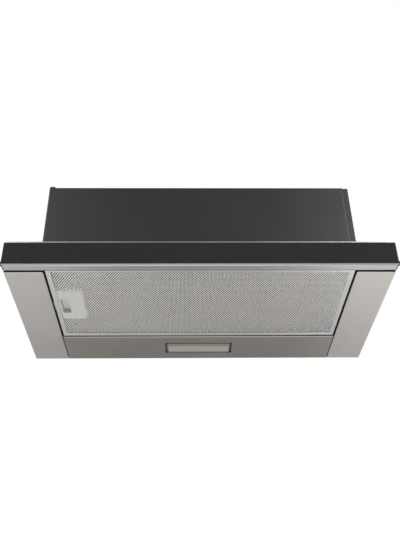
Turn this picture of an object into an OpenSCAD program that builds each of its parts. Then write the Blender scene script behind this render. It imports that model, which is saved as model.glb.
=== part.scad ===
// Built-in telescopic range hood, 60 cm class, seen as an assembly of its real pieces.
// X runs to the right, Y to the back, Z up. The origin is the middle of the footprint, on the underside.

/* [Overall] */
// Width of the glass front strip
strip_w = 600; // [560:1:640]
// Depth of the whole hood, from the face of the glass to the rear edge
hood_d = 314; // [300:1:340]
// Height of the housing, without the duct collar
body_h = 178; // [174:1:200]
// Distance of the housing's side from the end of the strip
housing_inset = 49.5; // [46:0.5:55]
// How far the housing front stands behind the face of the glass
body_setback = 34.6; // [34:0.1:40]

/* [Sheet metal] */
// Thickness of the painted housing sheet
sheet_t = 0.8; // [0.6:0.1:1]
// Thickness of the stainless trim sheet
trim_t = 0.8; // [0.6:0.1:1]
// Outside radius of the rounded folds
fold_r = 1.8; // [1.4:0.1:2.4]
// Width of the side wall's flange at the rear
flange_w = 10; // [8:0.5:12]
// Width of the side wall's flange at the front
front_flange_w = 18; // [15:0.5:22]
// Width of the right front flange that the front panel leaves bare
seam_w = 9.5; // [8:0.5:11]
// How far the front panel stands in front of the flanges
panel_step = 2.6; // [2.4:0.1:3.4]
// Small gap between pieces that do not carry each other
fit_gap = 0.3; // [0.2:0.05:0.4]
// Width of the raised ear on the left front flange
ear_w = 9; // [6:0.5:10]
// Height of the raised ear
ear_h = 3.8; // [2:0.1:4.4]

/* [Front strip] */
// Height of the glass strip
glass_h = 39; // [36:0.5:44]
// Thickness of the glass
glass_t = 4; // [3.5:0.5:5]
// Width of the ground edge round the glass
glass_chamfer = 0.6; // [0.3:0.1:0.9]
// Depth of the lip, from the face of the glass to its rear wall
lip_d = 19.4; // [18:0.2:20]
// Thickness of the stainless front profile
profile_t = 1; // [0.8:0.1:1.2]
// How far the profile stands above the glass
bead_h = 2.2; // [1.5:0.1:3]
// Depth of the drawer's front bar behind the lip, which carries the controls
shelf_d = 13.6; // [12.5:0.1:14]
// Height of the front bar's top face
shelf_z = 22; // [21:0.5:24]
// Depth of the two lines pressed into the lip's underside
lip_line_d = 0.3; // [0.2:0.05:0.4]
// Thickness of the plastic end caps
cap_t = 1.5; // [1:0.1:2]
// How far the toe of an end cap stands out
toe_out = 2; // [1:0.5:3]
// Height of the toe
toe_h = 4; // [3:0.5:6]

/* [Underside] */
// Dark gap between the lip and the side trim panels
trim_gap = 3.8; // [2:0.1:5]
// Depth of the rear lamp panel
rear_panel_d = 84.5; // [80:0.5:86]
// Gap between the rear lamp panel and a side trim panel
rear_panel_gap = 1; // [0.6:0.1:1.5]
// Height of the turned-up edges of the trim
trim_return_h = 7; // [5:0.5:8]
// Height of the rear lamp panel's rear flange
rear_flange_h = 14; // [10:1:20]
// Thickness of the mounting channel
channel_t = 1.2; // [1:0.1:1.5]
// Thickness of the cabinet side that the mounting channel screws to
cabinet_side_t = 16; // [15:0.5:18]
// Distance from an end of the mounting channel to the end of the housing
channel_margin = 19.7; // [15:0.5:30]
// Height of the channel's outer leg
channel_outer_h = 40; // [36:1:50]
// Height of the channel's inner leg
channel_inner_h = 52; // [50:1:60]
// Distance between the two mounting holes of a channel
mount_spacing = 160; // [120:5:200]
// Radius of the mounting holes
mount_hole_r = 2.5; // [2:0.1:3]
// Height of the mounting holes
mount_hole_z = 26; // [20:1:30]

/* [Filter cassette] */
// Gap between the cassette and the side trim panels
cassette_gap = 3.1; // [3.1:0.1:5]
// Gap between the cassette and the rear lamp panel
cassette_rear_gap = 5.2; // [5:0.1:8]
// Height of the cassette
cassette_h = 10.5; // [10:0.1:10.8]
// Height of the cassette's underside
cassette_z = 0.5; // [0.3:0.1:0.6]
// Gap between the lip and the cassette
cassette_front_gap = 0.6; // [0.4:0.1:0.8]
// Width of the frame's lips at the sides
frame_side_w = 7.2; // [6.5:0.1:8]
// Width of the frame's lip at the front
frame_front_w = 3.6; // [3:0.1:5]
// Width of the frame's lip at the rear
frame_rear_w = 7.3; // [6.5:0.1:8]
// Thickness of the frame's aluminium
frame_t = 0.6; // [0.5:0.1:0.7]
// How far the frame's rounded edges and beads stand out below it
bead_out = 0.35; // [0.2:0.05:0.4]
// Radius of the cassette's pivot pins
pivot_r = 2; // [1.5:0.1:2.2]
// Radial clearance of a pin in its hole
pin_fit = 0.06; // [0.02:0.01:0.1]

/* [Grease mesh] */
// Thickness of an expanded metal layer
mesh_t = 0.8; // [0.6:0.1:0.8]
// Number of diamonds across
mesh_cols = 18; // [10:1:24]
// Number of diamonds from front to back
mesh_rows = 6; // [4:1:8]
// Width of a mesh strand
strand_w = 2.4; // [1.5:0.1:3.5]
// Pitch of the folds in the inner foil layer
foil_pitch = 12; // [9:0.5:20]
// Thickness of the inner foil layer
foil_t = 0.3; // [0.2:0.05:0.5]

/* [Latch] */
// Width of the latch plate
latch_w = 39.6; // [36:0.2:44]
// Length of the latch plate, from front to back
latch_len = 86.4; // [80:0.2:92]
// Distance of the latch plate from the face of the glass
latch_f = 80; // [76:0.5:90]
// Width of the finger recess
recess_w = 13; // [12:0.5:15]
// Length of the finger recess
recess_len = 42; // [38:0.5:46]
// Distance of the finger recess from the left edge of the plate
recess_inset = 3.3; // [3:0.1:4]
// Distance of the finger recess from the front edge of the plate
recess_front = 23.6; // [20:0.2:26]
// Wall thickness of the latch mouldings
latch_t = 1.2; // [1:0.1:1.4]
// Width of the bevel round the latch plate
latch_bevel = 2.4; // [1.5:0.1:3]
// Radius of the finger recess's corners
recess_r = 3; // [2:0.5:4]
// Travel of the latch
latch_travel = 4; // [3.5:0.1:4.2]
// Width of the latch bolt
bolt_w = 12; // [8:0.5:14]
// Thickness of the latch bolt
bolt_t = 2.5; // [2:0.1:3]
// Outside radius of the latch spring
spring_r = 2.4; // [2:0.1:2.6]
// Radius of the spring wire
wire_r = 0.3; // [0.2:0.05:0.35]
// Number of turns of the latch spring
spring_turns = 9; // [6:1:10]

/* [Drawer and slides] */
// Length of the housing that the ball bearing slides leave free
slide_margin = 29.4; // [26:0.2:36]
// Thickness of a slide, between the housing wall and the drawer
slide_w = 12.7; // [12.4:0.1:13]
// Height of a slide
slide_h = 28; // [27:0.5:29]
// Height of the middle of a slide
slide_z = 24; // [24:0.5:25]
// Thickness of the slide's steel
rail_t = 1.2; // [1:0.1:1.4]
// Radius of the bearing balls
ball_r = 1.6; // [1.4:0.1:1.7]
// Running clearance of the balls
ball_fit = 0.05; // [0.03:0.01:0.08]
// Number of balls in each row
ball_count = 6; // [4:1:8]
// Overlap that is left between the rails of a slide when the drawer is out
slide_overlap = 85; // [80:1:110]
// Thickness of the drawer's sheet
drawer_t = 0.8; // [0.7:0.1:1]
// Height of the drawer rail's lower edge
drawer_z = 14.5; // [14:0.1:15]
// Height of the drawer rail's upper edge
drawer_top = 36; // [35:0.5:37]
// Width of the drawer rail's lower flange
drawer_flange = 14; // [10:1:18]

/* [Intake and duct] */
// Height of the intake frame's underside
intake_z = 40; // [39.5:0.5:44]
// Width of the intake frame's ledge
ledge_w = 14; // [10:1:18]
// Height of the intake frame's turned-up edge
intake_curb_h = 9; // [8:0.5:12]
// Height of the inner filter
inner_filter_h = 8; // [6:0.5:9]
// Outside radius of the duct collar
collar_r = 59.5; // [58:0.5:62]
// Wall thickness of the collar
collar_t = 2; // [1.5:0.1:2.5]
// Height of the collar above the housing
collar_h = 35; // [30:1:50]
// Radius of the collar's foot flange
collar_flange_r = 66; // [64:0.5:68]
// Thickness of a flap
flap_t = 1.2; // [1:0.1:1.6]
// Height of the flap pins above the housing
flap_z = 8; // [7:0.5:12]
// Distance of a flap pin from the middle of the collar
flap_offset = 3; // [2.6:0.1:4]
// Radius of the flap pins
flap_pin_r = 1.5; // [1.2:0.1:2]

/* [Blower] */
// Gap between the impeller and the scroll's tongue
wheel_gap = 4; // [3:0.5:6]
// Length of the impeller
wheel_len = 90; // [80:1:92]
// Number of blades in each half of the impeller
blade_count = 30; // [20:1:36]
// Radial depth of the blades
blade_depth = 9; // [7:0.5:10]
// Thickness of a blade
blade_t = 1.1; // [0.8:0.1:1.4]
// Width of the scroll
scroll_w = 100; // [98:1:106]
// Wall thickness of the scroll
scroll_t = 1.5; // [1.2:0.1:2]
// Height of the scroll's neck above the tongue's circle
neck_h = 15.9; // [14:0.1:18]
// Growth of the scroll's radius from the tongue to the outlet
scroll_growth = 14; // [10:0.5:15]
// How far the scroll's inlets are smaller in radius than the impeller
inlet_step = 10; // [8:0.5:12]
// Gap between the motor and the blades
motor_gap = 8; // [6:0.5:11]
// Length of the motor
motor_len = 50; // [45:1:55]
// Radius of the motor shaft
shaft_r = 3; // [2.5:0.1:4]
// Radius of the impeller's hub
hub_r = 9; // [7:0.5:12]

/* [Lamp] */
// Length of the lamp opening
lamp_w = 120; // [100:1:140]
// Width of the lamp opening, from front to back
lamp_d = 38; // [34:0.5:42]
// Distance of the lamp opening from the rear edge
lamp_rear = 23; // [20:0.5:26]
// Dark gap at the ends of the lens
lens_side_gap = 2.4; // [1.5:0.1:4]
// Dark gap in front of the lens
lens_front_gap = 4; // [2:0.1:6]
// Gap behind the lens
lens_rear_gap = 0.3; // [0.2:0.1:1]
// Width of the bevels at the ends of the lens
lens_bevel = 4; // [3:0.1:5]
// Width of the bevel at the front of the lens
lens_front_bevel = 10; // [6:0.5:12]
// Width of the bevel at the rear of the lens
lens_rear_bevel = 5.5; // [3:0.5:7]
// Thickness of the black ledge that shows round the lens
lens_ledge_t = 1.2; // [0.8:0.1:1.5]
// Height of the lens's bevels
lens_bevel_h = 2.4; // [1.5:0.1:3]
// Height of the lamp housing
lamp_h = 21; // [18:0.5:24]
// Wall thickness of the lamp housing
lamp_t = 1.5; // [1.2:0.1:2]
// Distance between the light-emitting diodes
led_pitch = 16; // [12:1:18]
// Depth of the lamp's circuit board
led_board_d = 18; // [14:1:20]

/* [Controls] */
// Width of the control block
control_w = 82; // [76:1:90]
// Height of the control block
control_h = 13; // [12:0.5:14]
// Distance of the control block from the right end of the drawer
control_inset = 6; // [4:1:20]
// Travel of the fan speed slider
speed_travel = 24; // [18:1:26]
// Travel of the lamp slider
lamp_travel = 8; // [6:0.5:10]
// Width of a slider stem
stem_w = 3.4; // [3:0.1:4]
// Length of a slider knob
knob_w = 10; // [8:0.5:11]
// Height of a slider knob
knob_h = 3.4; // [3:0.1:4]

/* [Electrics] */
// Width of the terminal box
box_w = 110; // [100:1:120]
// Depth of the terminal box
box_d = 56; // [50:1:60]
// Height of the terminal box
box_h = 46; // [40:1:50]
// Wall thickness of the terminal box
box_t = 2; // [1.5:0.1:2.5]
// Gap between the terminal box and the housing's right wall
box_side_gap = 19.7; // [15:0.5:24]
// Gap between the terminal box and the back panel
box_rear_gap = 6; // [5:0.5:10]
// Radius of the capacitor
capacitor_r = 14; // [12:0.5:15]
// Length of the capacitor
capacitor_len = 46; // [40:1:50]
// Radius of the cable gland's thread
gland_r = 8; // [7:0.5:9]
// Radius of the hole for the cable
cable_r = 3.6; // [3:0.1:4]
// Distance of the drawer's switch from the middle
switch_x = 120; // [80:5:160]
// Length of the drawer's switch
switch_len = 23; // [20:0.5:26]
// Height of the drawer's switch
switch_h = 9; // [8:0.5:10]
// Length of the magnet on the drawer
magnet_len = 12; // [10:0.5:14]
// Radius of a housing screw's shank
screw_r = 1.9; // [1.5:0.1:2.1]
// Radius of a housing screw's head
screw_head_r = 3.5; // [3:0.1:4]
// Length of a housing screw's shank
housing_screw_len = 8; // [6:0.5:10]
// Length of a blower screw's shank
blower_screw_len = 10; // [8:0.5:12]

/* [Hidden] */
$fn = 64;
EPS = 0.01;

front_y = -hood_d / 2;
rear_y = hood_d / 2;
body_x = strip_w / 2 - housing_inset;
body_y = front_y + body_setback;
wall_x = body_x - sheet_t;
flange_y = body_y + panel_step;
inner_front_y = flange_y + sheet_t;
inner_rear_y = rear_y - 2 * sheet_t;
deck_z = body_h - sheet_t;
ear_cut = ear_h * 0.4;

drawer_x = wall_x - slide_w;
cassette_x = drawer_x - fit_gap;
trim_x = cassette_x + cassette_gap;
trim_y = front_y + lip_d + trim_gap;
rear_panel_y = rear_y - rear_panel_d;
rear_panel_x = trim_x - rear_panel_gap;
channel_x = strip_w / 2 - cabinet_side_t;
channel_y = body_y + channel_margin;
channel_len = rear_y - body_y - 2 * channel_margin;

cassette_y = front_y + lip_d + cassette_front_gap;
cassette_rear_y = rear_panel_y - cassette_rear_gap;
cassette_top = cassette_z + cassette_h;
window_x = cassette_x - frame_side_w;
window_y0 = cassette_y + frame_front_w;
window_y1 = cassette_rear_y - frame_rear_w;
mesh_z = cassette_z + frame_t;
back_mesh_z = cassette_top - frame_t - mesh_t;
foil_z0 = mesh_z + mesh_t + 0.1;
foil_z1 = back_mesh_z - 0.1;
pivot_x = cassette_x - frame_side_w * 0.72;
pivot_z = cassette_z + cassette_h / 2;

latch_x = -window_x + 0.1;
latch_y = front_y + latch_f;
latch_top = foil_z1;
recess_x = latch_x + recess_inset;
recess_y = latch_y + recess_front;
bolt_y = recess_y + recess_len / 2;
bolt_z = cassette_z + cassette_h * 0.42;
cup_gap = 0.2;

slide_y = flange_y + 0.4;
slide_len = rear_y - body_y - slide_margin;
drawer_travel = slide_len - slide_overlap;
rear_bar_y = cassette_rear_y + 0.7;
rear_bar_d = 13;
rear_bar_top = drawer_z + 9.5;
tongue_x = drawer_x + 1.1;
bolt_x = -tongue_x - 1.4;
catch_w = bolt_w + 12;

race_z = slide_h / 2 - rail_t;
inner_h = race_z - 2 * (ball_r + ball_fit);
ball_z = race_z - ball_r - ball_fit;
ball_x = drawer_x + slide_w * 0.55;
cage_t = 0.6;
cage_len = slide_len - drawer_travel - 1;
cage_y = slide_y + slide_len - cage_len - (slide_len - drawer_travel - cage_len) / 2 - drawer_travel / 2;

collar_y = (body_y + rear_y) / 2;
tongue_a = 75;
scroll_floor = intake_z + sheet_t + inner_filter_h + 1.4 + scroll_t;
floor_growth = scroll_growth * (270 - tongue_a) / (360 - tongue_a);
tongue_r = (deck_z - scroll_floor - floor_growth - neck_h) / 2;
wheel_r = tongue_r - wheel_gap;
inlet_r = wheel_r - inlet_step;
motor_r = wheel_r - blade_depth - motor_gap;
duct_hole_r = collar_r - collar_t - 1;
wheel_z = scroll_floor + tongue_r + floor_growth;
outlet_y0 = tongue_r * cos(tongue_a);
outlet_y1 = scroll_radius(360);
wheel_y = collar_y - (outlet_y0 + outlet_y1) / 2;
outlet_z = deck_z - wheel_z;
scroll_flange_x = scroll_w / 2 + 18;
scroll_flange_y = scroll_w * 0.4;
scroll_flange_t = 2;
blower_screw_x = scroll_flange_x - 6;
blower_screw_y = scroll_flange_y - 7;

lens_x = lamp_w / 2 - lens_side_gap;
lamp_y = rear_y - lamp_rear - lamp_d;
lens_y0 = lamp_y + lens_front_gap;
lens_y1 = lamp_y + lamp_d - lens_rear_gap;
lens_rim_h = 7;

control_x1 = drawer_x - drawer_t - control_inset;
control_x0 = control_x1 - control_w;
control_y0 = front_y + lip_d + 0.8;
control_d = shelf_d - 1.6;
control_t = 1.5;
control_top = shelf_z + control_h;
knob_d = 8;
speed_x0 = control_x0 + 8 + knob_w / 2;
lamp_x0 = speed_x0 + speed_travel + knob_w + 10;

box_x = wall_x - box_side_gap - box_w;
box_y = inner_rear_y - box_d - box_rear_gap;
box_z = deck_z - box_h;
capacitor_x = box_x + box_t + 2;
gland_x = box_x + box_w - 20;
gland_y = box_y + box_d / 2;

switch_w = 6.4;
switch_y = rear_bar_y + rear_bar_d - switch_len;
magnet_t = 3;

// Radius of the scroll's inside at an angle, in degrees from the back, turning over the top
function scroll_radius(a) = tongue_r + scroll_growth * (a - tongue_a) / (360 - tongue_a);

// Points along an arc in the plane
function arc(c, r, a0, a1, n) = [
    for (i = [0 : n]) c + r * [cos(a0 + (a1 - a0) * i / n), sin(a0 + (a1 - a0) * i / n)]
];

// Box between two corners
module slab(x, y, z) {
    translate([x[0], y[0], z[0]]) cube([x[1] - x[0], y[1] - y[0], z[1] - z[0]]);
}

// Outline in the Y-Z plane, drawn along X from x0 to x1
module along_x(x0, x1) {
    translate([x0, 0, 0]) rotate([90, 0, 90]) linear_extrude(height = x1 - x0) children();
}

// Outline in the X-Z plane, drawn along Y from y0 to y1
module along_y(y0, y1) {
    translate([0, y1, 0]) rotate([90, 0, 0]) linear_extrude(height = y1 - y0) children();
}

// Flat box in an outline's plane, between two corners
module patch(a, b) {
    translate([a[0], a[1]]) square([b[0] - a[0], b[1] - a[1]]);
}

// Rectangle with round corners, between two corners of its box
module round_patch(a, b, r) {
    patch([a[0] + r, a[1]], [b[0] - r, b[1]]);
    patch([a[0], a[1] + r], [b[0], b[1] - r]);
    for (x = [a[0] + r, b[0] - r], y = [a[1] + r, b[1] - r]) translate([x, y]) circle(r = r);
}

// Flat arch below the X axis, from 0 to w, that stands out by s at its middle
module bulge(w, s) {
    r = (w * w / 4 + s * s) / (2 * s);
    a = asin(w / 2 / r);
    polygon(concat([[w, EPS], [0, EPS]], arc([w / 2, r - s], r, 270 - a, 270 + a, 8)));
}

// Quarter-round fold of sheet: its outer corner is at the origin and its legs run along +X and +Y
module fold(r, t) {
    intersection() {
        translate([r, r]) difference() {
            circle(r = r);
            circle(r = r - t);
        }
        square([r, r]);
    }
}

// Sheet folded up at a right angle, with the outer corner at the origin
module folded_angle(a, b, r, t) {
    fold(r, t);
    patch([r, 0], [a, t]);
    patch([0, r], [t, b]);
}

// Self-tapping screw: its head's underside is at the origin and its shank runs along -Z
module pan_screw(shank) {
    rotate_extrude() polygon(concat(
        [[0, -shank], [screw_r * 0.5, -shank + 1], [screw_r, -shank + 2.5], [screw_r, 0],
         [screw_head_r, 0]],
        arc([0, -0.6], 2.8, 20, 90, 6) * [[screw_head_r / 2.8, 0], [0, 1]]
    ));
}
screw_hole_r = screw_r + 0.1;

// Diamond openings in staggered rows, as one flat sheet with its border. The notch is cut from
// the left edge: its depth, then where it starts and ends
module diamond_sheet(w, d, cols, rows, border, notch) {
    px = (w - 2 * border) / cols;
    py = (d - 2 * border) / rows;
    a = px / 2 - strand_w * 0.62;
    b = py / 2 - strand_w * 0.62;
    all_centres = concat(
        [for (i = [0 : cols - 1], j = [0 : rows - 1])
            [border + px * (i + 0.5), border + py * (j + 0.5)]],
        [for (i = [1 : cols - 1], j = [1 : rows - 1])
            [border + px * i, border + py * j]]
    );
    centres = [for (c = all_centres)
        if (c[0] - a > notch[0] + strand_w || c[1] + b < notch[1] - strand_w
            || c[1] - b > notch[2] + strand_w) c];
    outline = notch[0] > 0
        ? [[0, 0], [w, 0], [w, d], [0, d], [0, notch[2]], [notch[0], notch[2]],
           [notch[0], notch[1]], [0, notch[1]]]
        : [[0, 0], [w, 0], [w, d], [0, d]];
    holes = [for (c = centres) each
        [c + [a, 0], c + [0, b], c + [-a, 0], c + [0, -b]]];
    n = len(outline);
    polygon(
        points = concat(outline, holes),
        paths = concat([[for (i = [0 : n - 1]) i]], [for (k = [0 : len(centres) - 1])
            [n + 4 * k, n + 1 + 4 * k, n + 2 + 4 * k, n + 3 + 4 * k]])
    );
}
no_notch = [0, -1, -1];

// Channel frame of a filter cassette: a web all round, with lips above and below
module cassette_frame(x, y0, y1, z0, h, side, front, rear) {
    difference() {
        slab([-x, x], [y0, y1], [z0, z0 + h]);
        slab([-x + frame_t, x - frame_t], [y0 + frame_t, y1 - frame_t],
             [z0 + frame_t, z0 + h - frame_t]);
        slab([-x + side, x - side], [y0 + front, y1 - rear], [z0 - 1, z0 + h + 1]);
    }
}

// Housing

// A shallow tray, whose folded sides stand on both walls' flanges. It reaches the left edge and
// leaves a strip bare on the right
module front_panel() {
    x0 = -body_x;
    x1 = body_x - seam_w;
    color([0.2, 0.2, 0.2]) {
        slab([x0 + fold_r, x1 - fold_r], [body_y, body_y + sheet_t],
             [intake_z + fold_r, body_h - fold_r]);
        translate([0, 0, intake_z]) linear_extrude(height = body_h - intake_z) {
            translate([x0, body_y]) folded_angle(fold_r + EPS, panel_step, fold_r, sheet_t);
            translate([x1, body_y]) mirror([1, 0])
                folded_angle(fold_r + EPS, panel_step, fold_r, sheet_t);
        }
        translate([0, body_y, intake_z]) along_x(x0 + fold_r, x1 - fold_r)
            folded_angle(panel_step, fold_r + EPS, fold_r, sheet_t);
        translate([0, body_y, body_h]) mirror([0, 0, 1]) along_x(x0 + fold_r, x1 - fold_r)
            folded_angle(panel_step, fold_r + EPS, fold_r, sheet_t);
    }
}

module side_wall(ear) {
    color([0.2, 0.2, 0.2])
    difference() {
        union() {
            slab([-body_x, -wall_x], [flange_y, rear_y], [trim_t, body_h]);
            slab([-body_x, -body_x + front_flange_w], [flange_y, flange_y + sheet_t],
                 [intake_z, body_h]);
            slab([-body_x, -body_x + flange_w], [rear_y - sheet_t, rear_y],
                 [rear_flange_h + 1, body_h]);
            if (ear)
                along_y(flange_y, flange_y + sheet_t) translate([-body_x, body_h]) polygon([
                    [0, -1], [ear_w, -1], [ear_w, ear_h - ear_cut], [ear_w - ear_cut, ear_h],
                    [ear_cut, ear_h], [0, ear_h - ear_cut]
                ]);
        }
        slab([-body_x - 1, -wall_x + 1], [rear_y - fold_r, rear_y + 1],
             [0, trim_return_h + fit_gap]);
        for (y = top_screw_ys())
            translate([-body_x - 1, y, top_screw_z]) rotate([0, 90, 0])
                cylinder(r = screw_hole_r, h = sheet_t + 2);
        for (y = channel_screw_ys())
            translate([-body_x - 1, y, channel_screw_z]) rotate([0, 90, 0])
                cylinder(r = screw_hole_r, h = sheet_t + 2);
    }
}

top_screw_z = deck_z - 6;
channel_screw_z = intake_z + 6;
function top_screw_ys() = [for (k = [-1 : 1]) collar_y + k * (rear_y - body_y) * 0.38];
function channel_screw_ys() = [for (k = [-1 : 1]) channel_y + channel_len / 2 + k * channel_len * 0.42];

module left_side_wall() { side_wall(true); }
module right_side_wall() { mirror([1, 0, 0]) side_wall(false); }

module back_panel() {
    color([0.2, 0.2, 0.2])
    slab([-wall_x + 0.2, wall_x - 0.2], [rear_y - 2 * sheet_t, rear_y - sheet_t],
         [fold_r + fit_gap, body_h]);
}

module top_panel() {
    lip_h = 12;
    x = wall_x;
    y0 = inner_front_y;
    y1 = inner_rear_y;
    color([0.22, 0.22, 0.22])
    difference() {
        slab([-x, x], [y0, y1], [deck_z - lip_h, body_h]);
        slab([-x + sheet_t, x - sheet_t], [y0 + sheet_t, y1 - sheet_t], [deck_z - lip_h - 1, deck_z]);
        translate([0, collar_y, deck_z - 1]) cylinder(r = duct_hole_r, h = sheet_t + 2);
        translate([gland_x, gland_y, deck_z - 1]) cylinder(r = gland_r + 0.1, h = sheet_t + 2);
        for (sx = [-1, 1], sy = [-1, 1])
            translate([sx * blower_screw_x, collar_y + sy * blower_screw_y, deck_z - 1])
                cylinder(r = screw_hole_r, h = sheet_t + 2);
        for (y = top_screw_ys())
            translate([-x - 1, y, top_screw_z]) rotate([0, 90, 0])
                cylinder(r = screw_hole_r, h = 2 * x + 2);
    }
}

module duct_collar() {
    color([0.12, 0.12, 0.12])
    difference() {
        union() {
            translate([0, collar_y, body_h]) rotate_extrude() polygon([
                [collar_r - collar_t, 0], [collar_flange_r, 0], [collar_flange_r, 2],
                [collar_r + 1, 2.4], [collar_r, 3.4],
                [collar_r, collar_h - 1.2], [collar_r - 0.8, collar_h],
                [collar_r - collar_t, collar_h]
            ]);
            translate([0, collar_y, body_h]) rotate_extrude() polygon([
                [collar_r - collar_t, 0], [collar_r - collar_t, flap_z - flap_t / 2 - 0.2],
                [collar_r - collar_t - 2.4, flap_z - flap_t / 2 - 0.2],
                [collar_r - collar_t - 1.6, 0]
            ]);
        }
        for (sx = [-1, 1])
            translate([sx * flap_offset, collar_y - collar_r - 1, body_h + flap_z]) rotate([-90, 0, 0])
                cylinder(r = flap_pin_r + pin_fit, h = 2 * collar_r + 2);
    }
}

module flap() {
    flap_r = collar_r - collar_t - 1;
    rib_x = flap_offset + 2;
    rib_pitch = flap_r * 0.39;
    rib_t = 1.2;
    color([0.3, 0.3, 0.3])
    translate([0, collar_y, body_h + flap_z]) {
        translate([0, 0, -flap_t / 2]) linear_extrude(height = flap_t) intersection() {
            circle(r = flap_r);
            patch([-flap_r - 1, -flap_r], [-flap_offset, flap_r]);
        }
        translate([-flap_offset, -collar_r + 0.4, 0]) rotate([-90, 0, 0])
            cylinder(r = flap_pin_r, h = 2 * collar_r - 0.8);
        for (k = [-1 : 1])
            slab([-flap_r * 0.74, -rib_x], [k * rib_pitch - rib_t / 2, k * rib_pitch + rib_t / 2],
                 [-flap_t / 2, flap_t / 2 + rib_t]);
    }
}

module left_flap() { flap(); }
module right_flap() { mirror([1, 0, 0]) flap(); }

module cable_gland() {
    color([0.1, 0.1, 0.1])
    translate([gland_x, gland_y, body_h]) difference() {
        union() {
            translate([0, 0, -sheet_t - box_t - 6]) cylinder(r = gland_r, h = sheet_t + box_t + 6);
            cylinder(r = gland_r + 3.5, h = 4, $fn = 6);
            translate([0, 0, 4]) rotate_extrude() polygon([
                [0, 0], [gland_r + 1, 0], [gland_r + 1, 3], [cable_r + 3, 8], [cable_r + 2, 9], [0, 9]
            ]);
        }
        translate([0, 0, -20]) cylinder(r = cable_r, h = 40);
    }
}

// Underside trim

module trim_panel() {
    x = trim_x;
    color([0.72, 0.71, 0.69]) {
        slab([x + fold_r, strip_w / 2], [trim_y + fold_r, rear_y - fold_r], [0, trim_t]);
        translate([0, trim_y, 0]) along_x(x + fold_r, strip_w / 2)
            folded_angle(fold_r + EPS, trim_return_h, fold_r, trim_t);
        translate([0, rear_y, 0]) mirror([0, 1, 0]) along_x(x + fold_r, strip_w / 2)
            folded_angle(fold_r + EPS, trim_return_h, fold_r, trim_t);
        along_y(trim_y + fold_r, rear_y - fold_r) translate([x, 0])
            folded_angle(fold_r + EPS, trim_return_h - 1, fold_r, trim_t);
    }
}

module left_trim_panel() { mirror([1, 0, 0]) trim_panel(); }
module right_trim_panel() { trim_panel(); }

module mount_channel() {
    y0 = channel_y;
    y1 = channel_y + channel_len;
    color([0.6, 0.6, 0.6])
    difference() {
        along_y(y0, y1) {
            translate([body_x, trim_t])
                folded_angle((channel_x - body_x) / 2 + EPS, channel_inner_h, fold_r, channel_t);
            translate([channel_x, trim_t]) mirror([1, 0])
                folded_angle((channel_x - body_x) / 2 + EPS, channel_outer_h, fold_r, channel_t);
        }
        for (s = [-1, 1])
            translate([channel_x - channel_t - 1, (y0 + y1) / 2 + s * mount_spacing / 2, mount_hole_z])
                rotate([0, 90, 0]) cylinder(r = mount_hole_r, h = channel_t + 2);
        for (y = channel_screw_ys())
            translate([body_x - 1, y, channel_screw_z]) rotate([0, 90, 0])
                cylinder(r = screw_hole_r, h = channel_t + 2);
    }
}

module left_mount_channel() { mirror([1, 0, 0]) mount_channel(); }
module right_mount_channel() { mount_channel(); }

module rear_lamp_panel() {
    x = rear_panel_x;
    color([0.6, 0.59, 0.57])
    difference() {
        union() {
            slab([-x, x], [rear_panel_y + fold_r, rear_y - fold_r], [0, trim_t]);
            translate([0, rear_panel_y, 0]) along_x(-x, x)
                folded_angle(fold_r + EPS, slide_z - slide_h / 2 - fit_gap, fold_r, trim_t);
            translate([0, rear_y, 0]) mirror([0, 1, 0]) along_x(-x, x)
                folded_angle(fold_r + EPS, rear_flange_h, fold_r, trim_t);
        }
        slab([-lamp_w / 2, lamp_w / 2], [lamp_y, lamp_y + lamp_d], [-1, trim_t + 1]);
    }
}

module lamp_housing() {
    x = lamp_w / 2 + 3;
    y0 = lamp_y - 3;
    y1 = lamp_y + lamp_d + 3;
    ledge_z = trim_t + lens_rim_h;
    color([0.12, 0.12, 0.12])
    difference() {
        union() {
            difference() {
                slab([-x, x], [y0, y1], [trim_t, trim_t + lamp_h]);
                slab([-x + lamp_t, x - lamp_t], [y0 + lamp_t, y1 - lamp_t],
                     [trim_t - 1, trim_t + lamp_h - lamp_t]);
            }
            slab([-x, x], [y0, y1], [ledge_z, ledge_z + 1.5]);
            slab([-x - 8, x + 8], [y0 + 8, y1 - 8], [trim_t, trim_t + 1.5]);
        }
        slab([-lens_x + 2, lens_x - 2], [lens_y0 + 2, lens_y1 - 2], [0, ledge_z + 2]);
        slab([-x + lamp_t, x - lamp_t], [y0 + lamp_t, y1 - lamp_t],
             [trim_t + lens_ledge_t, ledge_z]);
        slab([-lens_x - 0.1, lens_x + 0.1], [lens_y0 - 0.1, y1 - lamp_t],
             [0, trim_t + lens_ledge_t + 1]);
    }
}

module led_board() {
    board_z = trim_t + lamp_h - lamp_t;
    board_t = 1.6;
    board_x = lens_x - led_pitch / 2;
    led_half = 1.8;
    led_count = floor(2 * board_x / led_pitch);
    yc = (lens_y0 + lens_y1) / 2;
    color([0.9, 0.9, 0.85]) {
        slab([-board_x, board_x], [yc - led_board_d / 2, yc + led_board_d / 2],
             [board_z - board_t, board_z]);
        for (k = [0 : led_count - 1])
            translate([(k - (led_count - 1) / 2) * led_pitch, yc, board_z - board_t])
                slab([-led_half, led_half], [-led_half, led_half], [-0.8, 0]);
    }
}

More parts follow.
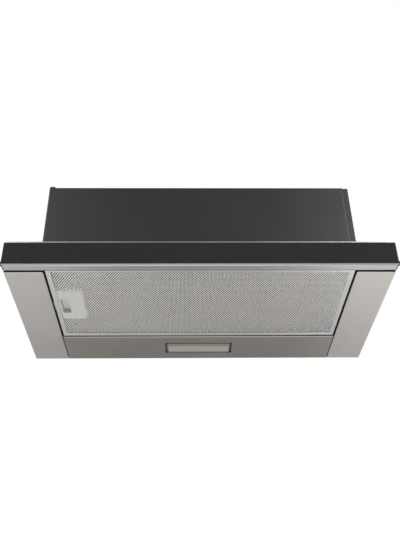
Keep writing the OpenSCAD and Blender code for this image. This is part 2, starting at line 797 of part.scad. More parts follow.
module lamp_lens() {
    yc = (lens_y0 + lens_y1) / 2;
    half_d = (lens_y1 - lens_y0) / 2;
    top_z = trim_t + lens_rim_h;
    face_z = 0.3;
    bevel_z = face_z + lens_bevel_h;
    rim_t = 1.8;
    color([0.85, 0.84, 0.78])
    translate([0, yc, 0]) difference() {
        intersection() {
            along_y(-half_d, half_d) polygon([
                [-lens_x, top_z], [-lens_x, bevel_z], [-lens_x + lens_bevel, face_z],
                [lens_x - lens_bevel, face_z], [lens_x, bevel_z], [lens_x, top_z]
            ]);
            along_x(-lens_x, lens_x) polygon([
                [-half_d, top_z], [-half_d, bevel_z], [-half_d + lens_front_bevel, face_z],
                [half_d - lens_rear_bevel, face_z], [half_d, trim_t], [half_d, top_z]
            ]);
        }
        slab([-lens_x + rim_t + 1, lens_x - rim_t - 1], [-half_d + rim_t + 1, half_d - rim_t - 1],
             [bevel_z, top_z + 1]);
    }
}

// Ball bearing slides

// Outline of the fixed rail on the right, in the X-Z plane, about its middle height
module outer_rail_outline() {
    h = slide_h / 2;
    lip = 3;
    patch([wall_x - rail_t, -h], [wall_x, h]);
    for (s = [0, 1]) mirror([0, s]) {
        patch([drawer_x + 2.5, h - rail_t], [wall_x, h]);
        patch([drawer_x + 2.5, h - lip], [drawer_x + 2.5 + rail_t, h]);
    }
}

module inner_rail_outline() {
    x0 = drawer_x;
    x1 = ball_x + 2;
    h = inner_h;
    t = rail_t;
    polygon([
        [x0, -h], [x1, -h], [x1, t - h], [x0 + t, t - h], [x0 + t, h - t], [x1, h - t],
        [x1, h], [x0, h]
    ]);
}

module cage_outline() {
    web_x = wall_x - rail_t - 0.8;
    patch([web_x - cage_t, -ball_z - cage_t / 2], [web_x, ball_z + cage_t / 2]);
    for (s = [0, 1]) mirror([0, s])
        patch([drawer_x + 2.5 + rail_t + 0.4, ball_z - cage_t / 2], [web_x, ball_z + cage_t / 2]);
}

module outer_rail() {
    color([0.7, 0.7, 0.72])
    translate([0, 0, slide_z]) along_y(slide_y, slide_y + slide_len) outer_rail_outline();
}

module inner_rail() {
    color([0.75, 0.75, 0.77])
    translate([0, 0, slide_z]) along_y(slide_y, slide_y + slide_len) inner_rail_outline();
}

module ball_cage() {
    pitch = cage_len / ball_count;
    color([0.55, 0.55, 0.57])
    translate([0, 0, slide_z]) {
        difference() {
            along_y(cage_y, cage_y + cage_len) cage_outline();
            for (k = [0 : ball_count - 1], s = [-1, 1])
                translate([ball_x, cage_y + pitch * (k + 0.5), s * ball_z - 1])
                    cylinder(r = ball_r + 0.1, h = 2);
        }
        for (k = [0 : ball_count - 1], s = [-1, 1])
            translate([ball_x, cage_y + pitch * (k + 0.5), s * ball_z]) sphere(r = ball_r);
    }
}

module left_outer_rail() { mirror([1, 0, 0]) outer_rail(); }
module right_outer_rail() { outer_rail(); }
module left_inner_rail() { mirror([1, 0, 0]) inner_rail(); }
module right_inner_rail() { inner_rail(); }
module left_ball_cage() { mirror([1, 0, 0]) ball_cage(); }
module right_ball_cage() { ball_cage(); }

// Visor

module front_glass() {
    c = glass_chamfer;
    x = strip_w / 2;
    color([0.14, 0.14, 0.14])
    translate([0, front_y, 0]) intersection() {
        along_x(-x, x) polygon([
            [c, 0], [glass_t, 0], [glass_t, glass_h], [c, glass_h], [0, glass_h - c], [0, c]
        ]);
        linear_extrude(height = glass_h) polygon([
            [-x + c, 0], [x - c, 0], [x, c], [x, glass_t], [-x, glass_t], [-x, c]
        ]);
    }
}

module front_profile() {
    x = strip_w / 2 - cap_t;
    color([0.75, 0.74, 0.72])
    difference() {
        translate([0, front_y, 0]) {
            along_x(-x, x) {
                translate([glass_t + 0.2, 0]) folded_angle(lip_d / 2, glass_h, fold_r, profile_t);
                patch([glass_t, fold_r], [glass_t + 0.2 + EPS, glass_h + bead_h]);
                patch([glass_t, glass_h], [glass_t + 0.2 + profile_t, glass_h + bead_h]);
                patch([0.5, glass_h + 0.1], [glass_t + 1, glass_h + bead_h]);
                translate([lip_d, 0]) mirror([1, 0])
                    folded_angle(lip_d / 2, shelf_z, fold_r, profile_t);
            }
        }
        for (f = [0.52, 0.8])
            translate([-x - 1, front_y + lip_d * f, 0]) rotate([45, 0, 0])
                translate([0, -lip_line_d, -lip_line_d])
                    cube([2 * x + 2, 2 * lip_line_d, 2 * lip_line_d]);
        translate([pivot_x, front_y + lip_d - profile_t - 1, pivot_z]) rotate([-90, 0, 0])
            cylinder(r = pivot_r + pin_fit, h = profile_t + 2);
    }
}

// Black painted angle along the lip's rear wall, with a slot for each drawer rail
module drawer_front_bar() {
    x = strip_w / 2 - cap_t - 0.2;
    swing_r = norm([cassette_x - pivot_x, cassette_h / 2]);
    leg_z = pivot_z + swing_r + fit_gap;
    color([0.1, 0.1, 0.1])
    difference() {
        translate([0, front_y + lip_d, shelf_z]) mirror([0, 0, 1]) along_x(-x, x)
            folded_angle(shelf_d, shelf_z - leg_z, fold_r, drawer_t);
        for (s = [0, 1]) mirror([s, 0, 0])
            slab([drawer_x - drawer_t - 0.2, drawer_x + 0.2],
                 [front_y + lip_d + drawer_t, front_y + lip_d + shelf_d + 1],
                 [shelf_z - fold_r - 1, shelf_z + 1]);
    }
}

module end_cap() {
    x = strip_w / 2;
    top = glass_h + bead_h;
    y0 = front_y + glass_t;
    y1 = front_y + lip_d;
    color([0.1, 0.1, 0.1]) {
        difference() {
            slab([x - cap_t, x], [y0, y1], [0, top]);
            translate([x - cap_t - 1, y1, 0]) along_x(0, cap_t + 2) difference() {
                patch([-fold_r, -1], [1, fold_r]);
                translate([-fold_r, fold_r]) circle(r = fold_r);
            }
        }
        slab([x - cap_t, x], [y1 - EPS, y1 + trim_gap - 0.4], [fold_r, shelf_z]);
        slab([x - cap_t - 6, x - cap_t], [y0 + profile_t + 1, y1 - profile_t - 0.5],
             [profile_t + 0.4, shelf_z - 2]);
        slab([x - cap_t, x + toe_out], [y0, y0 + 4], [0.4, 0.4 + toe_h]);
        slab([x + 0.2, x + toe_out], [y0 - glass_t + 0.8, y0 + EPS], [0.4, 0.4 + toe_h]);
    }
}

module left_end_cap() { mirror([1, 0, 0]) end_cap(); }
module right_end_cap() { end_cap(); }

module drawer_rail() {
    y0 = front_y + lip_d + drawer_t;
    y1 = slide_y + slide_len;
    flange_y1 = cassette_rear_y - 2;
    color([0.68, 0.68, 0.68]) {
        slab([drawer_x - drawer_t, drawer_x], [y0, y1], [drawer_z, drawer_top]);
        slab([drawer_x - drawer_flange, drawer_x], [y0, flange_y1], [drawer_z, drawer_z + drawer_t]);
        slab([drawer_x - drawer_flange, drawer_x], [y0, y0 + drawer_t],
             [drawer_z, shelf_z - fold_r]);
    }
}

// The left rail carries the catch, a joggled tongue with a window that the bolt enters
module left_drawer_rail() {
    catch_x = -tongue_x;
    foot_z = cassette_z + 0.7;
    color([0.68, 0.68, 0.68])
    difference() {
        union() {
            mirror([1, 0, 0]) drawer_rail();
            slab([catch_x, -drawer_x + drawer_t], [bolt_y - catch_w / 2, bolt_y + catch_w / 2],
                 [drawer_z - drawer_t, drawer_z]);
            slab([-drawer_x, -drawer_x + drawer_t], [bolt_y - catch_w / 2, bolt_y + catch_w / 2],
                 [drawer_z - drawer_t, drawer_z + 1]);
            slab([catch_x, catch_x + drawer_t], [bolt_y - catch_w / 2, bolt_y + catch_w / 2],
                 [foot_z, drawer_z]);
        }
        slab([catch_x - 1, catch_x + drawer_t + 0.4], [bolt_y - bolt_w / 2 - 1, bolt_y + bolt_w / 2 + 1],
             [bolt_z - 1, bolt_z + bolt_t + 1]);
    }
}

module right_drawer_rail() { drawer_rail(); }

module drawer_rear_bar() {
    x = drawer_x - drawer_t;
    t = 1.2;
    color([0.7, 0.7, 0.68])
    difference() {
        union() {
            slab([-x, x], [rear_bar_y, rear_bar_y + t], [cassette_z + 0.5, rear_bar_top]);
            slab([-x, x], [rear_bar_y, rear_bar_y + rear_bar_d], [rear_bar_top - t, rear_bar_top]);
            for (s = [0, 1]) mirror([s, 0, 0])
                slab([x - t, x], [rear_bar_y, rear_bar_y + rear_bar_d], [drawer_z, rear_bar_top]);
        }
        translate([pivot_x, rear_bar_y - 1, pivot_z]) rotate([-90, 0, 0])
            cylinder(r = pivot_r + pin_fit, h = t + 2);
    }
}

module control_block() {
    y0 = control_y0;
    y1 = control_y0 + control_d;
    slot_y = (y0 + y1) / 2;
    slot_half = stem_w / 2 + 0.3;
    color([0.1, 0.1, 0.1])
    difference() {
        slab([control_x0, control_x1], [y0, y1], [shelf_z, control_top]);
        slab([control_x0 + control_t, control_x1 - control_t], [y0 + control_t, y1 - control_t],
             [shelf_z - 1, control_top - control_t]);
        slab([speed_x0 - slot_half, speed_x0 + speed_travel + slot_half],
             [slot_y - 1.3, slot_y + 1.3], [control_top - control_t - 1, control_top + 1]);
        slab([lamp_x0 - slot_half, lamp_x0 + lamp_travel + slot_half],
             [slot_y - 1.3, slot_y + 1.3], [control_top - control_t - 1, control_top + 1]);
    }
}

// Slider: a ribbed knob on a stem, with a foot inside the block
module slider(x) {
    slot_y = control_y0 + control_d / 2;
    color([0.16, 0.16, 0.16])
    translate([x, slot_y, 0]) {
        slab([-stem_w / 2, stem_w / 2], [-1, 1],
             [control_top - control_t - 3, control_top + fit_gap + 0.5]);
        slab([-stem_w / 2 - 1.5, stem_w / 2 + 1.5], [-2.6, 2.6],
             [control_top - control_t - 5, control_top - control_t - 0.3]);
        difference() {
            slab([-knob_w / 2, knob_w / 2], [-knob_d / 2, knob_d / 2],
                 [control_top + fit_gap, control_top + fit_gap + knob_h]);
            for (k = [-1.5 : 1 : 1.5])
                slab([k * 2.2 - 0.4, k * 2.2 + 0.4], [-knob_d / 2 - 1, knob_d / 2 + 1],
                     [control_top + fit_gap + knob_h - 0.8, control_top + fit_gap + knob_h + 1]);
        }
    }
}

module speed_slider() { slider(speed_x0); }
module lamp_slider() { slider(lamp_x0); }

// Filter cassette

// The rear lip is rounded, and two beads run along each side lip
module filter_frame() {
    bead_w = frame_side_w * 0.24;
    color([0.78, 0.78, 0.77]) {
        translate([0, cassette_rear_y - frame_rear_w + 0.2, cassette_z])
            along_x(-window_x, window_x) bulge(frame_rear_w - 0.4, bead_out);
        for (s = [0, 1], k = [0.2, 0.56]) mirror([s, 0, 0])
            translate([cassette_x - frame_side_w * k - bead_w, 0, cassette_z])
                along_y(window_y0, window_y1) bulge(bead_w, bead_out * 0.7);
        difference() {
            cassette_frame(cassette_x, cassette_y, cassette_rear_y, cassette_z, cassette_h,
                           frame_side_w, frame_front_w, frame_rear_w);
            slab([-cassette_x - 1, -cassette_x + frame_t + 0.5],
                 [bolt_y - bolt_w / 2 - 0.5, bolt_y + bolt_w / 2 + 0.5],
                 [bolt_z - 0.4, bolt_z + bolt_t + 0.4]);
        }
        translate([pivot_x, cassette_y - 2.4, pivot_z]) rotate([-90, 0, 0])
            cylinder(r = pivot_r, h = 3.3);
        translate([pivot_x, cassette_rear_y - 0.9, pivot_z]) rotate([-90, 0, 0])
            cylinder(r = pivot_r, h = 3.3);
    }
}

// Expanded metal with the latch plate's place cut out
module filter_mesh() {
    x = cassette_x - frame_t - 0.1;
    y0 = cassette_y + frame_t + 0.1;
    y1 = cassette_rear_y - frame_t - 0.1;
    color([0.7, 0.7, 0.69])
    translate([-x, y0, mesh_z]) linear_extrude(height = mesh_t)
        diamond_sheet(2 * x, y1 - y0, mesh_cols, mesh_rows, frame_front_w,
                      [latch_x + latch_w + x + 0.2, latch_y - y0 - 0.2,
                       latch_y + latch_len - y0 + 0.2]);
}

module filter_back_mesh() {
    x = cassette_x - frame_t - 0.1;
    y0 = cassette_y + frame_t + 0.1;
    y1 = cassette_rear_y - frame_t - 0.1;
    color([0.7, 0.7, 0.69])
    translate([-x, y0, back_mesh_z]) linear_extrude(height = mesh_t)
        diamond_sheet(2 * x, y1 - y0, floor(mesh_cols * 0.6), floor(mesh_rows * 0.6),
                      frame_front_w, no_notch);
}

// Pleated foil between the two expanded layers
module filter_foil() {
    folds = floor((2 * window_x - 4) / foil_pitch);
    start = -folds * foil_pitch / 2;
    rise = foil_z1 - foil_z0 - 2 * foil_t;
    lower = [for (i = [0 : 2 * folds]) [start + i * foil_pitch / 2, foil_z0 + (i % 2) * rise]];
    upper = [for (i = [2 * folds : -1 : 0])
        [start + i * foil_pitch / 2, foil_z0 + (i % 2) * rise + 2 * foil_t]];
    color([0.66, 0.66, 0.66])
    difference() {
        along_y(window_y0 + 0.5, window_y1 - 0.5) polygon(concat(lower, upper));
        slab([-window_x - 1, latch_x + latch_w + 0.4], [latch_y - 0.4, latch_y + latch_len + 0.4],
             [foil_z0 - 1, foil_z1 + 1]);
    }
}

module latch_plate() {
    x0 = latch_x;
    x1 = latch_x + latch_w;
    y0 = latch_y;
    y1 = latch_y + latch_len;
    t = latch_t;
    b = latch_bevel;
    bevel_z = cassette_z + latch_t * 0.75;
    recess_x1 = recess_x + recess_w;
    color([0.8, 0.8, 0.79])
    difference() {
        intersection() {
            along_y(y0, y1) polygon([
                [x0, latch_top], [x0, bevel_z], [x0 + b, cassette_z],
                [x1 - b, cassette_z], [x1, bevel_z], [x1, latch_top]
            ]);
            along_x(x0, x1) polygon([
                [y0, latch_top], [y0, bevel_z], [y0 + b, cassette_z],
                [y1 - b, cassette_z], [y1, bevel_z], [y1, latch_top]
            ]);
        }
        along_y(recess_y + recess_r, recess_y + recess_len - recess_r) polygon([
            [recess_x1 - EPS, cassette_z - EPS], [recess_x1 + t, cassette_z - EPS],
            [recess_x1 - EPS, cassette_z + t * 0.8]
        ]);
        slab([x0 + t, x1 - t], [recess_y - 6, recess_y + recess_len + 6],
             [cassette_z + t, latch_top + 1]);
        slab([x0 + t, x1 - t], [y0 + t, recess_y - 6 - t], [cassette_z + t, latch_top + 1]);
        slab([x0 + t, x1 - t], [recess_y + recess_len + 6 + t, y1 - t],
             [cassette_z + t, latch_top + 1]);
        translate([0, 0, cassette_z - 1]) linear_extrude(height = t + 2)
            round_patch([recess_x, recess_y], [recess_x1, recess_y + recess_len], recess_r);
        slab([x0 - 1, x0 + t + 1], [bolt_y - bolt_w / 2 - 0.4, bolt_y + bolt_w / 2 + 0.4],
             [bolt_z - 0.3, bolt_z + bolt_t + 0.3]);
    }
}

// Sprung latch: a cup for the finger, with the bolt on its left side
module latch_slider() {
    t = latch_t;
    x0 = recess_x - t + cup_gap;
    x1 = recess_x + recess_w + t - cup_gap;
    y0 = recess_y - 3;
    y1 = recess_y + recess_len + 3;
    z0 = cassette_z + latch_t + cup_gap;
    z1 = latch_top - 0.2;
    color([0.74, 0.74, 0.73]) {
        difference() {
            slab([x0, x1], [y0, y1], [z0, z1]);
            translate([0, 0, z0 - 1]) linear_extrude(height = z1 - t - z0 + 1)
                round_patch([x0 + t, y0 + 3], [x1 - t, y1 - 3], recess_r);
        }
        slab([bolt_x, x0 + EPS], [bolt_y - bolt_w / 2, bolt_y + bolt_w / 2],
             [bolt_z, bolt_z + bolt_t]);
    }
}

// Spring wire: rings of points along a helix, joined as one tube
spring_x0 = recess_x + recess_w + latch_t - cup_gap + 0.1;
spring_x1 = latch_x + latch_w - latch_t - 0.1;
spring_z = (cassette_z + latch_t + latch_top) / 2;
ring_sides = 6;
rings_per_turn = 8;
helix_r = spring_r - wire_r;
spring_pitch = (spring_x1 - spring_x0 - 2 * wire_r) / spring_turns;

function spring_point(i) = let(a = 360 * i / rings_per_turn)
    [spring_x0 + wire_r + spring_pitch * i / rings_per_turn,
     bolt_y + helix_r * cos(a), spring_z + helix_r * sin(a)];

// Least gap between the wire's surfaces, one half turn or more apart
spring_gaps = [for (i = [0 : 2 * rings_per_turn],
                    j = [i + rings_per_turn / 2 : i + 2 * rings_per_turn])
    norm(spring_point(j) - spring_point(i)) - 2 * wire_r];
echo(spring_gap = min(spring_gaps));

function spring_ring(i) = let(a = 360 * i / rings_per_turn)
    [for (j = [0 : ring_sides - 1]) let(b = 360 * j / ring_sides, r = helix_r + wire_r * cos(b))
        [spring_x0 + wire_r + spring_pitch * i / rings_per_turn + wire_r * sin(b),
         bolt_y + r * cos(a), spring_z + r * sin(a)]];

module latch_spring() {
    rings = spring_turns * rings_per_turn;
    points = [for (i = [0 : rings]) each spring_ring(i)];
    sides = [for (i = [0 : rings - 1], j = [0 : ring_sides - 1])
        let(k = (j + 1) % ring_sides, a = i * ring_sides, b = a + ring_sides)
        each [[a + j, a + k, b + k], [a + j, b + k, b + j]]];
    first = [for (j = [1 : ring_sides - 2]) [0, j + 1, j]];
    last_i = rings * ring_sides;
    last = [for (j = [1 : ring_sides - 2]) [last_i, last_i + j, last_i + j + 1]];
    color([0.6, 0.6, 0.62]) polyhedron(points = points, faces = concat(sides, first, last));
}

// Intake

module intake_frame() {
    x = wall_x;
    y0 = inner_front_y;
    y1 = inner_rear_y;
    color([0.5, 0.5, 0.5])
    difference() {
        slab([-x, x], [y0, y1], [intake_z, intake_z + sheet_t + intake_curb_h]);
        slab([-x + sheet_t, x - sheet_t], [y0 + sheet_t, y1 - sheet_t],
             [intake_z + sheet_t, intake_z + sheet_t + intake_curb_h + 1]);
        slab([-window_x, window_x], [y0 + ledge_w, cassette_rear_y], [intake_z - 1, intake_z + 2]);
        for (s = [-1, 1], y = channel_screw_ys())
            translate([s * x, y, channel_screw_z]) rotate([0, 90, 0])
                cylinder(r = screw_hole_r, h = 4, center = true);
    }
}

inner_filter_z = intake_z + sheet_t;
inner_filter_y0 = inner_front_y + ledge_w / 2;
inner_filter_y1 = cassette_rear_y + ledge_w / 2;

module inner_filter_frame() {
    color([0.78, 0.78, 0.77])
    cassette_frame(cassette_x, inner_filter_y0, inner_filter_y1, inner_filter_z, inner_filter_h,
                   frame_side_w, frame_side_w, frame_side_w);
}

module inner_filter_mesh() {
    x = cassette_x - frame_t - 0.1;
    y0 = inner_filter_y0 + frame_t + 0.1;
    y1 = inner_filter_y1 - frame_t - 0.1;
    color([0.7, 0.7, 0.69])
    for (z = [inner_filter_z + frame_t, inner_filter_z + inner_filter_h - frame_t - mesh_t])
        translate([-x, y0, z]) linear_extrude(height = mesh_t)
            diamond_sheet(2 * x, y1 - y0, floor(mesh_cols * 0.6), floor(mesh_rows * 0.6),
                          frame_side_w, no_notch);
}

// Blower

// Outline of the scroll's inside, grown outwards by a wall
function scroll_points(grow) = let(a0 = tongue_a + atan(2 * grow / tongue_r), steps = 24) concat(
    [for (i = [0 : steps]) let(a = a0 + (360 - a0) * i / steps)
        (scroll_radius(a) + grow) * [cos(a), sin(a)]],
    [[outlet_y1 + grow, outlet_z], [outlet_y0 - grow, outlet_z]]
);

// Half of the scroll, on the +X side: one wall round the spiral, one side plate with its inlet
module scroll_half() {
    half_w = scroll_w / 2;
    color([0.25, 0.25, 0.25])
    difference() {
        union() {
            translate([0, wheel_y, wheel_z]) along_x(0, half_w) polygon(scroll_points(scroll_t));
            slab([0, scroll_flange_x], [collar_y - scroll_flange_y, collar_y + scroll_flange_y],
                 [deck_z - scroll_flange_t, deck_z]);
            translate([half_w, wheel_y, wheel_z]) rotate([0, 90, 0])
                cylinder(r = inlet_r + 5, h = 3);
        }
        translate([0, wheel_y, wheel_z]) along_x(-1, half_w - scroll_t) polygon(scroll_points(0));
        slab([-1, half_w - scroll_t],
             [wheel_y + outlet_y0, wheel_y + outlet_y1], [wheel_z + tongue_r, deck_z + 1]);
        translate([half_w - scroll_t - 1, wheel_y, wheel_z]) rotate([0, 90, 0])
            cylinder(r = inlet_r, h = scroll_t + 6);
        for (sy = [-1, 1])
            translate([blower_screw_x, collar_y + sy * blower_screw_y, deck_z - scroll_flange_t - 1])
                cylinder(r = screw_hole_r, h = scroll_flange_t + 2);
    }
}

module scroll_left_half() { mirror([1, 0, 0]) scroll_half(); }

mount_ring_r = inlet_r + 11;
mount_angles = [90, 210, 330];
boss_len = 4;

// The right half also carries three bosses for the motor bracket
module scroll_right_half() {
    color([0.25, 0.25, 0.25]) {
        scroll_half();
        for (a = mount_angles)
            translate([scroll_w / 2 - EPS, wheel_y + mount_ring_r * cos(a), wheel_z + mount_ring_r * sin(a)])
                rotate([0, 90, 0]) cylinder(r = 4, h = boss_len);
    }
}

// Rubber bushes between the bosses and the bracket's arms
bush_len = 5;
module motor_mounts() {
    color([0.08, 0.08, 0.08])
    for (a = mount_angles)
        translate([scroll_w / 2 + boss_len, wheel_y + mount_ring_r * cos(a),
                   wheel_z + mount_ring_r * sin(a)])
            rotate([0, 90, 0]) rotate_extrude() polygon([
                [0, 0], [5, 0], [5, 1.5], [4, bush_len / 2], [5, bush_len - 1.5], [5, bush_len],
                [0, bush_len]
            ]);
}

bracket_x = scroll_w / 2 + boss_len + bush_len;
bracket_t = 1.5;
motor_x0 = bracket_x - motor_len + 4;
motor_bore = motor_len * 0.48;

module motor_bracket() {
    color([0.65, 0.65, 0.66])
    translate([bracket_x, wheel_y, wheel_z]) rotate([90, 0, 90]) linear_extrude(height = bracket_t)
        difference() {
            union() {
                circle(r = motor_r + 4);
                for (a = mount_angles) {
                    rotate(a) patch([0, -6], [mount_ring_r, 6]);
                    rotate(a) translate([mount_ring_r, 0]) circle(r = 6);
                }
            }
            circle(r = motor_r + pin_fit);
            for (a = mount_angles) rotate(a) translate([mount_ring_r, 0]) circle(r = 1.6);
        }
}

// Motor can with its end bells, a collar behind the bracket and the shaft's bore
module fan_motor() {
    color([0.7, 0.7, 0.72])
    translate([motor_x0, wheel_y, wheel_z]) rotate([0, 90, 0]) rotate_extrude() polygon([
        [shaft_r + pin_fit, 0], [8, 0], [9, 3], [motor_r * 0.7, 5], [motor_r, 9],
        [motor_r, motor_len - 5.5], [motor_r + 3.6, motor_len - 5.5], [motor_r + 3.6, motor_len - 4],
        [motor_r, motor_len - 4], [motor_r, motor_len - 2.4],
        [motor_r * 0.7, motor_len + 5], [9, motor_len + 7],
        [0, motor_len + 7], [0, motor_bore], [shaft_r + pin_fit, motor_bore]
    ]);
}

hub_x = -14;
hub_len = 20;

module motor_shaft() {
    color([0.8, 0.8, 0.82])
    translate([hub_x - 2, wheel_y, wheel_z]) rotate([0, 90, 0])
        cylinder(r = shaft_r, h = motor_x0 + 22 - hub_x + 2);
}

// Forward-curved blade, from the wheel's inner circle to its rim
module blade() {
    inner = wheel_r - blade_depth;
    bend_r = blade_depth * 0.9;
    start_a = 10;
    sweep_a = 120;
    translate([inner + blade_depth * 0.5, -bend_r * 0.55]) intersection() {
        polygon(concat(arc([0, 0], bend_r + blade_t / 2, start_a, start_a + sweep_a, 5),
                       arc([0, 0], bend_r - blade_t / 2, start_a + sweep_a, start_a, 5)));
        circle(r = wheel_r);
    }
}

module impeller() {
    half = wheel_len / 2;
    inner = wheel_r - blade_depth;
    color([0.2, 0.2, 0.2])
    translate([0, wheel_y, wheel_z]) {
        difference() {
            union() {
                rotate([90, 0, 90]) translate([0, 0, -half]) linear_extrude(height = wheel_len)
                    intersection() {
                        for (k = [0 : blade_count - 1]) rotate(k * 360 / blade_count) blade();
                        difference() {
                            circle(r = wheel_r);
                            circle(r = inner);
                        }
                    }
                translate([-1, 0, 0]) rotate([0, 90, 0]) cylinder(r = wheel_r, h = 2);
                for (s = [-1, 1])
                    translate([s * (half - 1) - 1, 0, 0]) rotate([0, 90, 0]) difference() {
                        cylinder(r = wheel_r + 0.8, h = 2);
                        translate([0, 0, -1]) cylinder(r = wheel_r - 3, h = 4);
                    }
                translate([hub_x, 0, 0]) rotate([0, 90, 0]) cylinder(r = hub_r, h = hub_len);
            }
            translate([hub_x - 1, 0, 0]) rotate([0, 90, 0]) cylinder(r = shaft_r, h = hub_len + 2);
        }
    }
}

module blower_screws() {
    color([0.7, 0.7, 0.7])
    for (sx = [-1, 1], sy = [-1, 1])
        translate([sx * blower_screw_x, collar_y + sy * blower_screw_y, body_h]) pan_screw(blower_screw_len);
}

module housing_screws() {
    color([0.7, 0.7, 0.7])
    for (s = [0, 1]) mirror([s, 0, 0]) {
        for (y = top_screw_ys())
            translate([body_x, y, top_screw_z]) rotate([0, 90, 0]) pan_screw(housing_screw_len);
        for (y = channel_screw_ys())
            translate([body_x + channel_t, y, channel_screw_z]) rotate([0, 90, 0]) pan_screw(housing_screw_len);
    }
}

// Electrics

module terminal_box() {
    color([0.85, 0.85, 0.82])
    difference() {
        slab([box_x, box_x + box_w], [box_y, box_y + box_d], [box_z, deck_z]);
        slab([box_x + box_t, box_x + box_w - box_t], [box_y + box_t, box_y + box_d - box_t],
             [box_z - 1, deck_z - box_t]);
        translate([gland_x, gland_y, deck_z - box_t - 1]) cylinder(r = gland_r + 0.1, h = box_t + 2);
    }
}

module terminal_box_lid() {
    color([0.82, 0.82, 0.8]) {
        slab([box_x, box_x + box_w], [box_y, box_y + box_d], [box_z - box_t, box_z]);
        difference() {
            slab([box_x + box_t + 0.2, box_x + box_w - box_t - 0.2],
                 [box_y + box_t + 0.2, box_y + box_d - box_t - 0.2], [box_z - EPS, box_z + 3]);
            slab([box_x + 2 * box_t, box_x + box_w - 2 * box_t],
                 [box_y + 2 * box_t, box_y + box_d - 2 * box_t], [box_z - 1, box_z + 4]);
        }
    }
}

// Three-pole screw terminal on the box's roof
module terminal_block() {
    pole = 9;
    x0 = capacitor_x + capacitor_len + 6;
    y0 = box_y + box_t + 2;
    z1 = deck_z - box_t;
    color([0.9, 0.9, 0.88])
    difference() {
        slab([x0, x0 + 3 * pole], [y0, y0 + 15], [z1 - 13, z1]);
        for (k = [0 : 2]) {
            translate([x0 + pole * (k + 0.5), y0 + 8, z1 - 14]) cylinder(r = 2, h = 8);
            translate([x0 + pole * (k + 0.5), y0 - 1, z1 - 6]) rotate([-90, 0, 0])
                cylinder(r = 1.8, h = 18);
        }
    }
}

module motor_capacitor() {
    z = deck_z - box_t - capacitor_r;
    color([0.88, 0.88, 0.88])
    translate([capacitor_x, box_y + box_d / 2, z]) rotate([0, 90, 0]) rotate_extrude() polygon([
        [0, 0], [capacitor_r - 1, 0], [capacitor_r, 1], [capacitor_r, capacitor_len - 1],
        [capacitor_r - 1, capacitor_len], [0, capacitor_len]
    ]);
}

// Sealed magnetic switch under the intake frame, and the magnet on the drawer's rear bar that
// works it while the drawer is shut
module visor_switch() {
    c = 1;
    color([0.12, 0.12, 0.12])
    along_x(switch_x, switch_x + switch_w) polygon([
        [switch_y, intake_z], [switch_y, intake_z - switch_h + c],
        [switch_y + c, intake_z - switch_h], [switch_y + switch_len - c, intake_z - switch_h],
        [switch_y + switch_len, intake_z - switch_h + c], [switch_y + switch_len, intake_z]
    ]);
}

module switch_magnet() {
    color([0.3, 0.3, 0.32])
    slab([switch_x - 0.5, switch_x + switch_w + 0.5],
         [rear_bar_y + 0.5, rear_bar_y + 0.5 + magnet_len], [rear_bar_top, rear_bar_top + magnet_t]);
}

front_panel();
left_side_wall();
right_side_wall();
back_panel();
top_panel();
left_trim_panel();
right_trim_panel();
left_mount_channel();
right_mount_channel();
rear_lamp_panel();
lamp_housing();
led_board();
lamp_lens();
left_outer_rail();
right_outer_rail();
intake_frame();
inner_filter_frame();
inner_filter_mesh();
scroll_left_half();
scroll_right_half();
fan_motor();
motor_bracket();
motor_mounts();
motor_capacitor();
terminal_box();
terminal_box_lid();
terminal_block();
cable_gland();
duct_collar();
housing_screws();
blower_screws();
visor_switch();
switch_magnet();
front_glass();
front_profile();
left_end_cap();
right_end_cap();
left_drawer_rail();
right_drawer_rail();
drawer_front_bar();
drawer_rear_bar();
left_inner_rail();
right_inner_rail();
left_ball_cage();
right_ball_cage();
control_block();
speed_slider();
lamp_slider();
filter_frame();
filter_mesh();
filter_foil();
filter_back_mesh();
latch_plate();
latch_slider();
latch_spring();
impeller();
motor_shaft();
left_flap();
right_flap();
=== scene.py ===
import bmesh
import bpy
import math
from mathutils import Matrix, Vector


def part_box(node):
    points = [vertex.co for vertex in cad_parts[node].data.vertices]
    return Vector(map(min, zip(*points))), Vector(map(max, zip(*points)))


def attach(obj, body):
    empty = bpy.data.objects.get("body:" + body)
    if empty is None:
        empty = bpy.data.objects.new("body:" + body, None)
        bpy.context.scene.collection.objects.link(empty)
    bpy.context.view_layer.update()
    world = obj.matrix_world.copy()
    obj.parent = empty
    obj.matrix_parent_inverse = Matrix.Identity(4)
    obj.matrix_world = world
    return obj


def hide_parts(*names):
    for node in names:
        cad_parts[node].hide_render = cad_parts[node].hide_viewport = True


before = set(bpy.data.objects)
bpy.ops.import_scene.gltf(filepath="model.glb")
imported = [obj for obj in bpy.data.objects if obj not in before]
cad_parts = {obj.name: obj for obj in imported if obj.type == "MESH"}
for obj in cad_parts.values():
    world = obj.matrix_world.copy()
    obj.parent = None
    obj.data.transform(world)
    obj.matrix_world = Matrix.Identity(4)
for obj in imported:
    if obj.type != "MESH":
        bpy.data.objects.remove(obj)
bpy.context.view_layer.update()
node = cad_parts


# Housing shell.
# Five folded sheets of 0.8 mm steel under a dark grey powder coat, which leaves a fine orange-peel
# skin. The front panel is a shallow tray that stands on the side walls' flanges.
def finish(name, colour, metallic, roughness):
    """A new material with one plain shader."""
    material = bpy.data.materials.new(name)
    material.use_nodes = True
    shader = material.node_tree.nodes["Principled BSDF"]
    shader.inputs["Base Color"].default_value = (*colour, 1)
    shader.inputs["Metallic"].default_value = metallic
    shader.inputs["Roughness"].default_value = roughness
    return material


